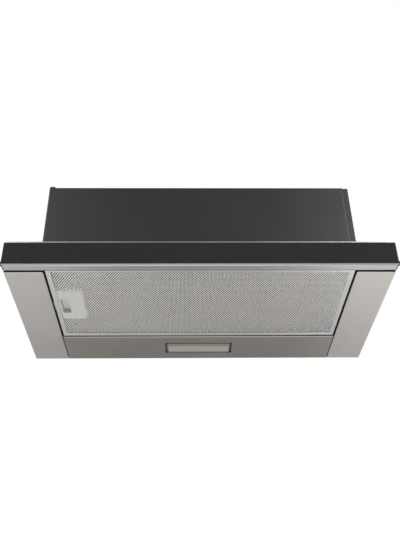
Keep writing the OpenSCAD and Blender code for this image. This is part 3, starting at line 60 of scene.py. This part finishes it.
def speckle(material, size, spread, roughness, height, stretch=(1, 1, 1)):
    """Noise of that grain size in metres, which shifts the colour, roughness and surface."""
    broad_scale, broad_share = 9, 0.4
    noise_low, noise_high = 0.3, 0.7
    tree = material.node_tree
    shader = tree.nodes["Principled BSDF"]
    spot = tree.nodes.new("ShaderNodeTexCoord")
    grain = tree.nodes.new("ShaderNodeMapping")
    grain.inputs["Scale"].default_value = stretch
    tree.links.new(spot.outputs["Object"], grain.inputs["Vector"])
    fine = tree.nodes.new("ShaderNodeTexNoise")
    fine.inputs["Scale"].default_value = 1 / size
    fine.inputs["Detail"].default_value = 3
    tree.links.new(grain.outputs["Vector"], fine.inputs["Vector"])
    broad = tree.nodes.new("ShaderNodeTexNoise")
    broad.inputs["Scale"].default_value = broad_scale
    broad.inputs["Detail"].default_value = 2
    tree.links.new(spot.outputs["Object"], broad.inputs["Vector"])
    both = tree.nodes.new("ShaderNodeMix")
    both.inputs["Factor"].default_value = broad_share
    tree.links.new(fine.outputs["Fac"], both.inputs["A"])
    tree.links.new(broad.outputs["Fac"], both.inputs["B"])
    tone = tree.nodes.new("ShaderNodeValToRGB")
    base = shader.inputs["Base Color"].default_value[:3]
    dark, light = tone.color_ramp.elements
    dark.position, light.position = noise_low, noise_high
    dark.color = (*(c * (1 - spread) for c in base), 1)
    light.color = (*(min(1, c * (1 + spread)) for c in base), 1)
    tree.links.new(both.outputs["Result"], tone.inputs["Fac"])
    tree.links.new(tone.outputs["Color"], shader.inputs["Base Color"])
    gloss = tree.nodes.new("ShaderNodeMapRange")
    gloss.inputs["From Min"].default_value = noise_low
    gloss.inputs["From Max"].default_value = noise_high
    gloss.inputs["To Min"].default_value = roughness[0]
    gloss.inputs["To Max"].default_value = roughness[1]
    tree.links.new(both.outputs["Result"], gloss.inputs["Value"])
    tree.links.new(gloss.outputs["Result"], shader.inputs["Roughness"])
    relief = tree.nodes.new("ShaderNodeBump")
    relief.inputs["Strength"].default_value = 1
    relief.inputs["Distance"].default_value = height
    tree.links.new(fine.outputs["Fac"], relief.inputs["Height"])
    tree.links.new(relief.outputs["Normal"], shader.inputs["Normal"])
    return material


def dress(material, *names):
    """Gives CAD nodes this material."""
    for name in names:
        if not node[name].material_slots:
            node[name].data.materials.append(material)
        for slot in node[name].material_slots:
            slot.material = material


powder_coat = speckle(
    finish("powder_coat", (0.0148, 0.0136, 0.0143), 0, 0.42),
    size=0.0011, spread=0.10, roughness=(0.36, 0.46), height=0.00003,
)
dress(powder_coat, "front_panel", "left_side_wall", "right_side_wall", "back_panel", "top_panel")


# Side trim panels.
# Stainless sheet with a satin grain along X, folded up with rounded edges and fixed under the
# mounting channels. Above the fold the front and inner edges are painted black as shade, to darken
# the gaps there.
def paint_where(material, tests, colour, roughness):
    """A plain paint where every test on the Object coordinates holds."""
    tree = material.node_tree
    output = tree.nodes["Material Output"]
    bare = output.inputs["Surface"].links[0].from_socket
    paint = tree.nodes.new("ShaderNodeBsdfPrincipled")
    paint.inputs["Base Color"].default_value = (*colour, 1)
    paint.inputs["Roughness"].default_value = roughness
    spot = tree.nodes.new("ShaderNodeTexCoord")
    axes = tree.nodes.new("ShaderNodeSeparateXYZ")
    tree.links.new(spot.outputs["Object"], axes.inputs[0])
    coat = tree.nodes.new("ShaderNodeMixShader")
    held = None
    for axis, sign, limit in tests:
        test = tree.nodes.new("ShaderNodeMath")
        test.operation = "GREATER_THAN" if sign == ">" else "LESS_THAN"
        test.inputs[1].default_value = limit
        tree.links.new(axes.outputs[axis], test.inputs[0])
        if held:
            both = tree.nodes.new("ShaderNodeMath")
            both.operation = "MULTIPLY"
            tree.links.new(held, both.inputs[0])
            tree.links.new(test.outputs[0], both.inputs[1])
            test = both
        held = test.outputs[0]
    tree.links.new(held, coat.inputs["Fac"])
    tree.links.new(bare, coat.inputs[1])
    tree.links.new(paint.outputs[0], coat.inputs[2])
    tree.links.new(coat.outputs[0], output.inputs["Surface"])


satin_steel = speckle(
    finish("satin_steel", (0.56, 0.538, 0.514), 1, 0.36),
    size=0.0009, spread=0.05, roughness=(0.32, 0.42), height=0.000006, stretch=(0.02, 1, 1),
)
trim_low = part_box("right_trim_panel")[0]
fold_radius, fold_top = 0.0018, 0.0004
fold_painted_shade = (0.012, 0.012, 0.012)
inner_fold = trim_low[0] + fold_radius
above_fold = ("Z", ">", fold_top)
# Painted shade: above the fold, the front and inner edges are painted near black to darken the gaps
# beside them.
paint_where(satin_steel, (above_fold, ("Y", "<", trim_low[1] + fold_radius)), fold_painted_shade, 0.6)
paint_where(satin_steel, (above_fold, ("X", ">", -inner_fold), ("X", "<", inner_fold)),
            fold_painted_shade, 0.6)
dress(satin_steel, "left_trim_panel", "right_trim_panel")


# Rear lamp panel.
# The same kind of sheet between the side panels, with a folded front edge and the lamp's opening.
# Its colour is painted a shade darker than the side panels' as painted shade.
# Painted shade: the same steel as the side panels, with a darker base colour for this panel's
# dimmer reflection.
lamp_panel_shaded_steel = speckle(
    finish("lamp_panel_shaded_steel", (0.375, 0.354, 0.326), 1, 0.34),
    size=0.0009, spread=0.05, roughness=(0.30, 0.38), height=0.000006, stretch=(0.02, 1, 1),
)
dress(lamp_panel_shaded_steel, "rear_lamp_panel")


# Mounting channels, intake frame, motor bracket and drawer frame.
# Plain zinc-plated sheet, dull and faintly mottled. The channels are screwed to the side walls, and
# the drawer's rails and rear bar run on the slides.
zinc_plate = speckle(
    finish("zinc_plate", (0.42, 0.43, 0.44), 1, 0.5),
    size=0.004, spread=0.10, roughness=(0.42, 0.58), height=0.00001,
)
dress(zinc_plate, "left_mount_channel", "right_mount_channel", "intake_frame", "motor_bracket",
      "left_drawer_rail", "right_drawer_rail", "drawer_rear_bar")


# Black mouldings and the drawer's front bar.
# Caps that close the lip's ends, the control block, the switch, the outlet collar, the cable gland
# and the lamp's housing are moulded in black plastic. The front bar is a painted steel angle.
black_plastic = speckle(
    finish("black_plastic", (0.012, 0.012, 0.012), 0, 0.5),
    size=0.0006, spread=0.15, roughness=(0.45, 0.6), height=0.00002,
)
dress(black_plastic, "lamp_housing", "left_end_cap", "right_end_cap", "control_block",
      "visor_switch", "duct_collar", "cable_gland", "drawer_front_bar")


# Lamp lens.
# A moulding with a frosted flat face and bevels painted darker as painted shade. Its front rim is
# painted near black as the opening's shadow.
frosted_lens = speckle(
    finish("frosted_lens", (0.37, 0.355, 0.315), 0, 0.35),
    size=0.0012, spread=0.04, roughness=(0.30, 0.40), height=0.00004,
)
lens_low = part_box("lamp_lens")[0]
face_depth, rim_shadow_width = 0.00005, 0.0035
# Painted shade: everything above the flat face, the bevels, is painted darker.
paint_where(frosted_lens, (("Z", ">", lens_low[2] + face_depth),), (0.24, 0.23, 0.195), 0.3)
# Painted shadow: a strip along the lens's front edge is painted near black as the opening's shade.
paint_where(frosted_lens, (("Y", "<", lens_low[1] + rim_shadow_width),), (0.05, 0.047, 0.036), 0.4)
dress(frosted_lens, "lamp_lens")


# Lamp board, terminal block and capacitor.
# A white lacquered board with its row of chips above the lens, and two white mouldings in the
# terminal box.
white_lacquer = speckle(
    finish("white_lacquer", (0.75, 0.75, 0.70), 0, 0.4),
    size=0.002, spread=0.03, roughness=(0.35, 0.45), height=0.00001,
)
dress(white_lacquer, "led_board", "terminal_block", "motor_capacitor")


# Filter frames.
# Rolled aluminium channel with a lip above and below, round the cassette and round the inner filter
# above the drawer.
rolled_aluminium = speckle(
    finish("rolled_aluminium", (0.72, 0.715, 0.70), 1, 0.34),
    size=0.0008, spread=0.05, roughness=(0.28, 0.40), height=0.000006, stretch=(1, 0.05, 1),
)
dress(rolled_aluminium, "inner_filter_frame", "filter_frame")


# Inner filter mesh and the cassette's upper mesh.
# Expanded aluminium layers that their frames grip by the edges.
mesh_aluminium = speckle(
    finish("mesh_aluminium", (0.84, 0.83, 0.81), 1, 0.36),
    size=0.003, spread=0.06, roughness=(0.30, 0.42), height=0.00001,
)
dress(mesh_aluminium, "inner_filter_mesh", "filter_back_mesh")


# Blower.
# Moulded scroll halves and impeller in dark plastic, and a rolled steel motor whose bracket sits on
# rubber bushes. The screws are plain steel, and the drawer's magnet is as black as the bushes.
scroll_plastic = speckle(
    finish("scroll_plastic", (0.035, 0.035, 0.037), 0, 0.5),
    size=0.0008, spread=0.12, roughness=(0.45, 0.6), height=0.00003,
)
dress(scroll_plastic, "scroll_left_half", "scroll_right_half")
impeller_plastic = speckle(
    finish("impeller_plastic", (0.02, 0.02, 0.022), 0, 0.45),
    size=0.0008, spread=0.12, roughness=(0.4, 0.5), height=0.00002,
)
dress(impeller_plastic, "impeller")
motor_steel = speckle(
    finish("motor_steel", (0.40, 0.41, 0.42), 1, 0.4),
    size=0.001, spread=0.08, roughness=(0.34, 0.46), height=0.000008, stretch=(1, 0.1, 0.1),
)
dress(motor_steel, "fan_motor", "housing_screws", "blower_screws")
rubber = speckle(
    finish("rubber", (0.012, 0.012, 0.012), 0, 0.8),
    size=0.001, spread=0.1, roughness=(0.7, 0.85), height=0.00002,
)
dress(rubber, "motor_mounts", "switch_magnet")


# Terminal box.
# Pale grey moulding with its lid, under the housing's top.
grey_plastic = speckle(
    finish("grey_plastic", (0.52, 0.52, 0.50), 0, 0.5),
    size=0.001, spread=0.04, roughness=(0.45, 0.55), height=0.00002,
)
dress(grey_plastic, "terminal_box", "terminal_box_lid")


# Non-return flaps.
# Two half discs in dark plastic, which turn on pins in the outlet collar and fall shut when the
# blower stops.
flap_plastic = speckle(
    finish("flap_plastic", (0.03, 0.03, 0.03), 0, 0.55),
    size=0.0008, spread=0.12, roughness=(0.5, 0.6), height=0.00002,
)
dress(flap_plastic, "left_flap", "right_flap")


# Ball-bearing slides, latch spring and motor shaft.
# Bright zinc-plated steel channels and wire, with polished balls and a ground shaft.
bright_steel = speckle(
    finish("bright_steel", (0.55, 0.56, 0.58), 1, 0.28),
    size=0.001, spread=0.06, roughness=(0.24, 0.34), height=0.000005, stretch=(1, 0.05, 1),
)
dress(bright_steel, "left_outer_rail", "right_outer_rail", "left_inner_rail", "right_inner_rail",
      "latch_spring")
polished_steel = speckle(
    finish("polished_steel", (0.62, 0.62, 0.64), 1, 0.15),
    size=0.002, spread=0.04, roughness=(0.10, 0.20), height=0.000002,
)
dress(polished_steel, "left_ball_cage", "right_ball_cage", "motor_shaft")


# Glass strip.
# 4 mm glass, coated dark on the back, so that it looks almost black and mirrors what stands before
# it. Its lower edge is ground and looks pale.
dark_glass = speckle(
    finish("dark_glass", (0.0175, 0.0155, 0.016), 0, 0.08),
    size=0.02, spread=0.06, roughness=(0.06, 0.10), height=0.000001,
)
dark_glass.node_tree.nodes["Principled BSDF"].inputs["IOR"].default_value = 1.52
glass_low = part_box("front_glass")[0]
ground_edge = 0.0002
paint_where(dark_glass, (("Z", "<", glass_low[2] + ground_edge),), (0.42, 0.42, 0.40), 0.5)
dress(dark_glass, "front_glass")


# Front profile.
# One folded stainless strip behind the glass: a bead above it, and the lip with its rounded lower
# edge and two pressed lines below it.
profile_steel = speckle(
    finish("profile_steel", (0.50, 0.485, 0.465), 1, 0.30),
    size=0.0009, spread=0.05, roughness=(0.26, 0.36), height=0.000006, stretch=(0.02, 1, 1),
)
dress(profile_steel, "front_profile")


# Slider knobs.
# Two ribbed knobs in matt black plastic, which slide in the control block's slots for the speed
# and the lamp.
knob_plastic = speckle(
    finish("knob_plastic", (0.03, 0.03, 0.03), 0, 0.4),
    size=0.0006, spread=0.12, roughness=(0.35, 0.45), height=0.00002,
)
dress(knob_plastic, "speed_slider", "lamp_slider")


# Grease mesh.
# Expanded aluminium: a sheet slit and stretched into diamonds of 4.2 by 7 mm, whose strands stay
# twisted out of the sheet's plane. Its edges are gripped by the cassette's frame.
def shift(bm, parts, by):
    """Moves the vertices among these parts of a bmesh."""
    corners = [p for p in parts if isinstance(p, bmesh.types.BMVert)]
    bmesh.ops.translate(bm, verts=corners, vec=by)


def expanded_metal(low, high, cell, opening, thickness, twist):
    """Diamonds over the box between two corners. Each strand is tilted towards the left."""
    neck_share = 0.08
    half_x, half_y = cell[0] / 2, cell[1] / 2
    neck = half_x * neck_share
    bm = bmesh.new()
    rim, mouth, ridge = [], [], []
    for x, y in ((-half_x, 0), (0, -half_y), (half_x, 0), (0, half_y)):
        rim.append(bm.verts.new((x, y, 0)))
        ridge.append(bm.verts.new((x, y, thickness)))
    for x, y in ((-half_x, 0), (-neck, -half_y), (neck, -half_y),
                 (half_x, 0), (neck, half_y), (-neck, half_y)):
        mouth.append(bm.verts.new((x * opening, y * opening, math.copysign(twist, x))))
    for i, j, m, n in ((0, 1, 0, 1), (1, 2, 2, 3), (2, 3, 3, 4), (3, 0, 5, 0)):
        bm.faces.new((rim[j], rim[i], mouth[m], mouth[n]))
        bm.faces.new((mouth[n], mouth[m], ridge[i], ridge[j]))
    for i, m, n in ((1, 1, 2), (3, 4, 5)):
        bm.faces.new((rim[i], mouth[m], mouth[n]))
        bm.faces.new((ridge[i], mouth[n], mouth[m]))
    across = math.ceil((high[0] - low[0]) / cell[0]) + 2
    deep = math.ceil((high[1] - low[1]) / half_y) + 2
    shift(bm, bm.verts[:], (low[0] - half_x, low[1] - half_y, low[2]))
    one = bm.verts[:] + bm.edges[:] + bm.faces[:]
    for i in range(1, across):
        shift(bm, bmesh.ops.duplicate(bm, geom=one)["geom"], (i * cell[0], 0, 0))
    row = bm.verts[:] + bm.edges[:] + bm.faces[:]
    for j in range(1, deep):
        shift(bm, bmesh.ops.duplicate(bm, geom=row)["geom"], (half_x * (j % 2), j * half_y, 0))
    for point, out in ((low, (-1, 0, 0)), (low, (0, -1, 0)), (high, (1, 0, 0)), (high, (0, 1, 0))):
        bmesh.ops.bisect_plane(bm, geom=bm.verts[:] + bm.edges[:] + bm.faces[:], plane_co=point,
                               plane_no=out, clear_outer=True)
    return bm


def cassette_piece(bm, name, material, replaced):
    """Turns a finished bmesh into a piece of the cassette in place of a CAD node."""
    mesh = bpy.data.meshes.new(name)
    bm.to_mesh(mesh)
    bm.free()
    piece = bpy.data.objects.new(name, mesh)
    bpy.context.collection.objects.link(piece)
    mesh.materials.append(material)
    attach(piece, "filter")
    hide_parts(replaced)
    return piece


mesh_low, mesh_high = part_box("filter_mesh")
latch_low, latch_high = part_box("latch_plate")
mesh_margin, mesh_front_margin, mesh_lift = 0.003, 0.0012, 0.0002
mesh_bm = expanded_metal(
    Vector((mesh_low[0] + mesh_margin, mesh_low[1] + mesh_front_margin, mesh_low[2] + mesh_lift)),
    Vector((mesh_high[0] - mesh_margin, mesh_high[1] - mesh_margin, mesh_low[2] + mesh_lift)),
    cell=(0.0042, 0.0070), opening=0.73, thickness=0.0008, twist=0.0002,
)
latch_gap = 0.0005
under_plate = [
    f for f in mesh_bm.faces
    if f.calc_center_median().x < latch_high[0] - latch_gap
    and latch_low[1] + latch_gap < f.calc_center_median().y < latch_high[1] - latch_gap
]
bmesh.ops.delete(mesh_bm, geom=under_plate, context="FACES")
grease_mesh = cassette_piece(mesh_bm, "grease_mesh", mesh_aluminium, "filter_mesh")


# Filter foil.
# Thin aluminium foil, crumpled and painted dark as painted shade, pleated along Y and laid between
# the cassette's two meshes. It reaches under the frame's lips and is cut away round the latch.
# Painted shade: the foil's base colour is near black, so that the mesh's holes look shaded.
foil_aluminium = speckle(
    finish("foil_aluminium", (0.07, 0.069, 0.066), 1, 0.55),
    size=0.002, spread=0.3, roughness=(0.45, 0.65), height=0.0002,
)
foil_low, foil_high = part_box("filter_foil")
foil_sheet, foil_pitch, foil_clearance, foil_margin = 0.0001, 0.006, 0.0004, 0.002
left, right = mesh_low[0] + foil_margin, mesh_high[0] - foil_margin
front, rear = mesh_low[1] + foil_margin, mesh_high[1] - foil_margin
notch_front, notch_rear = latch_low[1] - latch_gap, latch_high[1] + latch_gap
folds = 2 * round((right - left) / foil_pitch)
foil_line = [
    (left + (right - left) * i / folds,
     foil_high[2] - foil_clearance if i % 2 else foil_low[2] + foil_clearance)
    for i in range(folds + 1)
]
beside_latch = [p for p in foil_line if p[0] > latch_high[0] + latch_gap]
foil_bm = bmesh.new()
for line, y0, y1 in ((foil_line, front, notch_front), (beside_latch, notch_front, notch_rear),
                     (foil_line, notch_rear, rear)):
    bends = [foil_bm.verts.new((x, y0, z)) for x, z in line]
    creases = [foil_bm.edges.new(bends[i:i + 2]) for i in range(len(bends) - 1)]
    shift(foil_bm, bmesh.ops.extrude_edge_only(foil_bm, edges=creases)["geom"], (0, y1 - y0, 0))
bmesh.ops.recalc_face_normals(foil_bm, faces=foil_bm.faces[:])
bmesh.ops.solidify(foil_bm, geom=foil_bm.faces[:], thickness=foil_sheet)
foil_layers = cassette_piece(foil_bm, "foil_layers", foil_aluminium, "filter_foil")


# Latch.
# Pale grey mouldings at the cassette's left edge: a bevelled plate in a cut-out of the mesh, and a
# sprung cup for the finger.
latch_plastic = speckle(
    finish("latch_plastic", (0.62, 0.612, 0.595), 0, 0.42),
    size=0.0008, spread=0.03, roughness=(0.38, 0.46), height=0.00001,
)
dress(latch_plastic, "latch_plate", "latch_slider")


# Floor.
# The hood hangs as it does on a wall, so the floor lies well below it, out of the picture, and
# takes the shadow.
floor_size, floor_drop = 8, -1.5
floor_mesh = bmesh.new()
bmesh.ops.create_grid(floor_mesh, x_segments=1, y_segments=1, size=floor_size)
bmesh.ops.translate(floor_mesh, verts=floor_mesh.verts[:], vec=(0, 0, floor_drop))
floor_data = bpy.data.meshes.new("studio_floor")
floor_mesh.to_mesh(floor_data)
floor_mesh.free()
studio_floor = bpy.data.objects.new("studio_floor", floor_data)
bpy.context.collection.objects.link(studio_floor)
floor_data.materials.append(finish("floor_paint", (0.80, 0.80, 0.80), 0, 0.9))


# World.
# White for camera and glass rays. Mirroring surfaces see it white only behind the hood, which is
# the picture's background, and grey elsewhere. The same grey lights everything softly.
studio_grey, rear_start, rear_full = 0.32, 0.2, 0.6
world = bpy.data.worlds.new("studio_world")
bpy.context.scene.world = world
world.use_nodes = True
sky = world.node_tree
sky.nodes.clear()
ray = sky.nodes.new("ShaderNodeLightPath")
seen = sky.nodes.new("ShaderNodeMath")
seen.operation = "MAXIMUM"
sky.links.new(ray.outputs["Is Camera Ray"], seen.inputs[0])
sky.links.new(ray.outputs["Is Transmission Ray"], seen.inputs[1])
aim = sky.nodes.new("ShaderNodeTexCoord")
parts = sky.nodes.new("ShaderNodeSeparateXYZ")
sky.links.new(aim.outputs["Generated"], parts.inputs[0])
behind = sky.nodes.new("ShaderNodeMapRange")
behind.inputs["From Min"].default_value = rear_start
behind.inputs["From Max"].default_value = rear_full
sky.links.new(parts.outputs["Y"], behind.inputs["Value"])
mirrored = sky.nodes.new("ShaderNodeMath")
mirrored.operation = "MULTIPLY"
sky.links.new(ray.outputs["Is Glossy Ray"], mirrored.inputs[0])
sky.links.new(behind.outputs["Result"], mirrored.inputs[1])
shown = sky.nodes.new("ShaderNodeMath")
shown.operation = "MAXIMUM"
sky.links.new(seen.outputs[0], shown.inputs[0])
sky.links.new(mirrored.outputs[0], shown.inputs[1])
soft = sky.nodes.new("ShaderNodeBackground")
soft.inputs["Color"].default_value = (1, 1, 1, 1)
soft.inputs["Strength"].default_value = studio_grey
white = sky.nodes.new("ShaderNodeBackground")
white.inputs["Color"].default_value = (1, 1, 1, 1)
white.inputs["Strength"].default_value = 1
either = sky.nodes.new("ShaderNodeMixShader")
sky.links.new(shown.outputs[0], either.inputs["Fac"])
sky.links.new(soft.outputs[0], either.inputs[1])
sky.links.new(white.outputs[0], either.inputs[2])
sky_out = sky.nodes.new("ShaderNodeOutputWorld")
sky.links.new(either.outputs[0], sky_out.inputs["Surface"])


# Lamps.
# Two above shine on the front, two behind and below on the underside, one at the left on the mesh's
# tilted strands, and a wide one below on all that faces down.
def softbox(name, spot, aim, width, height, watts):
    """A soft rectangular lamp that faces a point."""
    lamp = bpy.data.lights.new(name, "AREA")
    lamp.shape = "RECTANGLE"
    lamp.size, lamp.size_y, lamp.energy = width, height, watts
    stand = bpy.data.objects.new(name, lamp)
    bpy.context.collection.objects.link(stand)
    stand.location = spot
    stand.rotation_mode = "QUATERNION"
    stand.rotation_quaternion = (Vector(aim) - Vector(spot)).to_track_quat("-Z", "Y")


underside = (0, 0, 0)
softbox("upper_left_lamp", (-1.45, -1.6, 1.15), (-0.15, 0, 0.1), width=0.9, height=0.9, watts=22)
softbox("upper_right_lamp", (1.5, -1.55, 1.15), (0.15, 0, 0.1), width=0.9, height=0.9, watts=38)
softbox("rear_left_lamp", (-0.9, 1.4, -1.38), underside, width=0.9, height=0.7, watts=1.6)
softbox("rear_right_lamp", (0.95, 1.4, -1.38), underside, width=0.9, height=0.7, watts=2.9)
softbox("left_lamp", (-1.6, 1.0, -1.3), underside, width=0.8, height=0.8, watts=5.6)
softbox("under_lamp", (0, 0.2, -1.45), underside, width=1.2, height=1.2, watts=8.4)


# Camera.
# Placed by the photographed edges: in front, below and a little left of the middle, looking up.
camera_spot = (-0.02224, -1.03866, -0.60266)
pitch, yaw, roll = math.radians(34.10), math.radians(1.35), math.radians(-0.83)
focal_px, picture_px, sensor_mm = 711.43, 533, 36
ahead = Vector((math.sin(yaw) * math.cos(pitch), math.cos(yaw) * math.cos(pitch), math.sin(pitch)))
side = Vector((math.cos(yaw), -math.sin(yaw), 0))
above = side.cross(ahead)
side, above = (math.cos(roll) * side + math.sin(roll) * above,
               math.cos(roll) * above - math.sin(roll) * side)
camera_data = bpy.data.cameras.new("photo_camera")
camera_data.sensor_width = sensor_mm
camera_data.lens = focal_px / picture_px * sensor_mm
camera = bpy.data.objects.new("photo_camera", camera_data)
bpy.context.collection.objects.link(camera)
camera.matrix_world = Matrix((
    (side.x, above.x, -ahead.x, camera_spot[0]),
    (side.y, above.y, -ahead.y, camera_spot[1]),
    (side.z, above.z, -ahead.z, camera_spot[2]),
    (0, 0, 0, 1),
))
bpy.context.scene.camera = camera
bpy.context.scene.view_settings.view_transform = "Standard"
